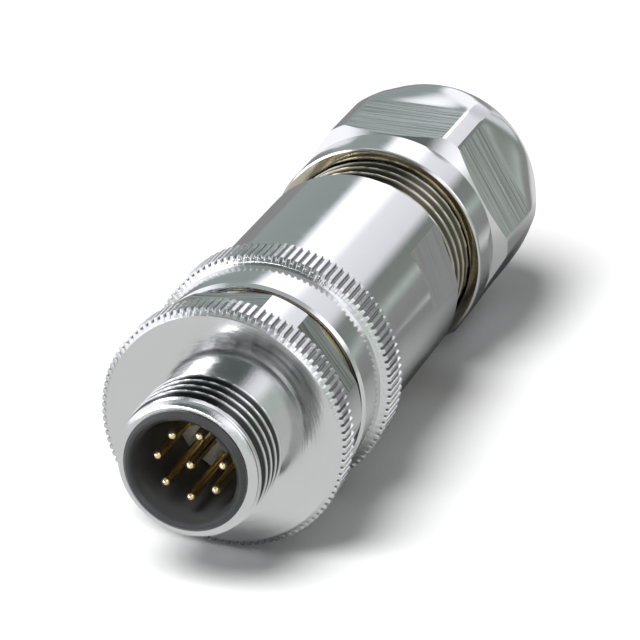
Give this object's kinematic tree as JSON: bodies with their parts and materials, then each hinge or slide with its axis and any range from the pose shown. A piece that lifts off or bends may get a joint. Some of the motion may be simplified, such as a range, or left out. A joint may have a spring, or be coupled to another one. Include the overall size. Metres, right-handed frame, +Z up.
{
  "type": "m12 connector",
  "caption": "Field-wired male M12 plug with gold pins, a knurled coupling nut that turns freely, a shielded metal housing and a domed cable gland nut.",
  "frame": {"origin": "centre of the inner end of the coupling nut's M12 thread, on the connector's axis", "axes": "+Y along the axis towards the cable, mating face towards -Y, +Z up with one wrench flat of the pressure nut facing up"},
  "size_m": [0.021, 0.0653, 0.021],
  "materials": {
    "nickel_satin": "nickel plating over fine turning and milling marks",
    "nickel_polished": "smooth bright nickel plating",
    "spring_steel": "plain",
    "brass": "turned",
    "gold": "gold plating, smooth",
    "black_insulator": "satin moulded",
    "grey_insulator": "satin moulded",
    "black_rubber": "matt"
  },
  "bodies": {
    "connector_body": {"front_body": "nickel_satin", "retaining_ring": "spring_steel", "slip_ring": "brass", "sleeve_seal": "black_rubber", "carrier_seal": "black_rubber", "lock_ring": "spring_steel", "contact_carrier": "black_insulator", "pin_holder": "grey_insulator", "terminal_screws": "spring_steel", "contact_pin_1": "gold", "contact_pin_2": "gold", "contact_pin_3": "gold", "contact_pin_4": "gold", "contact_pin_5": "gold", "contact_pin_6": "gold", "contact_pin_7": "gold", "contact_pin_centre": "gold"},
    "coupling_nut": {"coupling_nut": "nickel_satin"},
    "cable_clamp": {"shield_ring": "nickel_satin", "shield_cone": "nickel_satin", "cable_seal": "black_rubber"},
    "housing_sleeve": {"housing_sleeve": "nickel_polished"},
    "clamp_cage": {"thrust_washer": "spring_steel", "clamp_cage": "black_insulator"},
    "pressure_nut": {"pressure_nut": "nickel_satin"}
  },
  "joints": [
    {"name": "coupling_nut_turn", "type": "hinge", "parent": "connector_body", "child": "coupling_nut", "pos_m": [0, 0, 0], "axis": [0, 1, 0], "continuous": true},
    {"name": "housing_travel", "type": "slide", "parent": "connector_body", "child": "cable_clamp", "axis": [0, 1, 0], "range_m": [0, 0.006]},
    {"name": "housing_turn", "type": "hinge", "parent": "cable_clamp", "child": "housing_sleeve", "pos_m": [0, 0, 0], "axis": [0, 1, 0], "range_deg": [-1, 2161]},
    {"name": "gland_travel", "type": "slide", "parent": "housing_sleeve", "child": "clamp_cage", "axis": [0, 1, 0], "range_m": [-0.0035, 0.0045]},
    {"name": "gland_turn", "type": "hinge", "parent": "clamp_cage", "child": "pressure_nut", "pos_m": [0, 0, 0], "axis": [0, 1, 0], "range_deg": [-1009, 1297]}
  ],
  "couplings": [
    {"joint": "housing_turn", "follows": "housing_travel", "rad_per_m": 6283.2},
    {"joint": "gland_turn", "follows": "gland_travel", "rad_per_m": 5026.5}
  ]
}
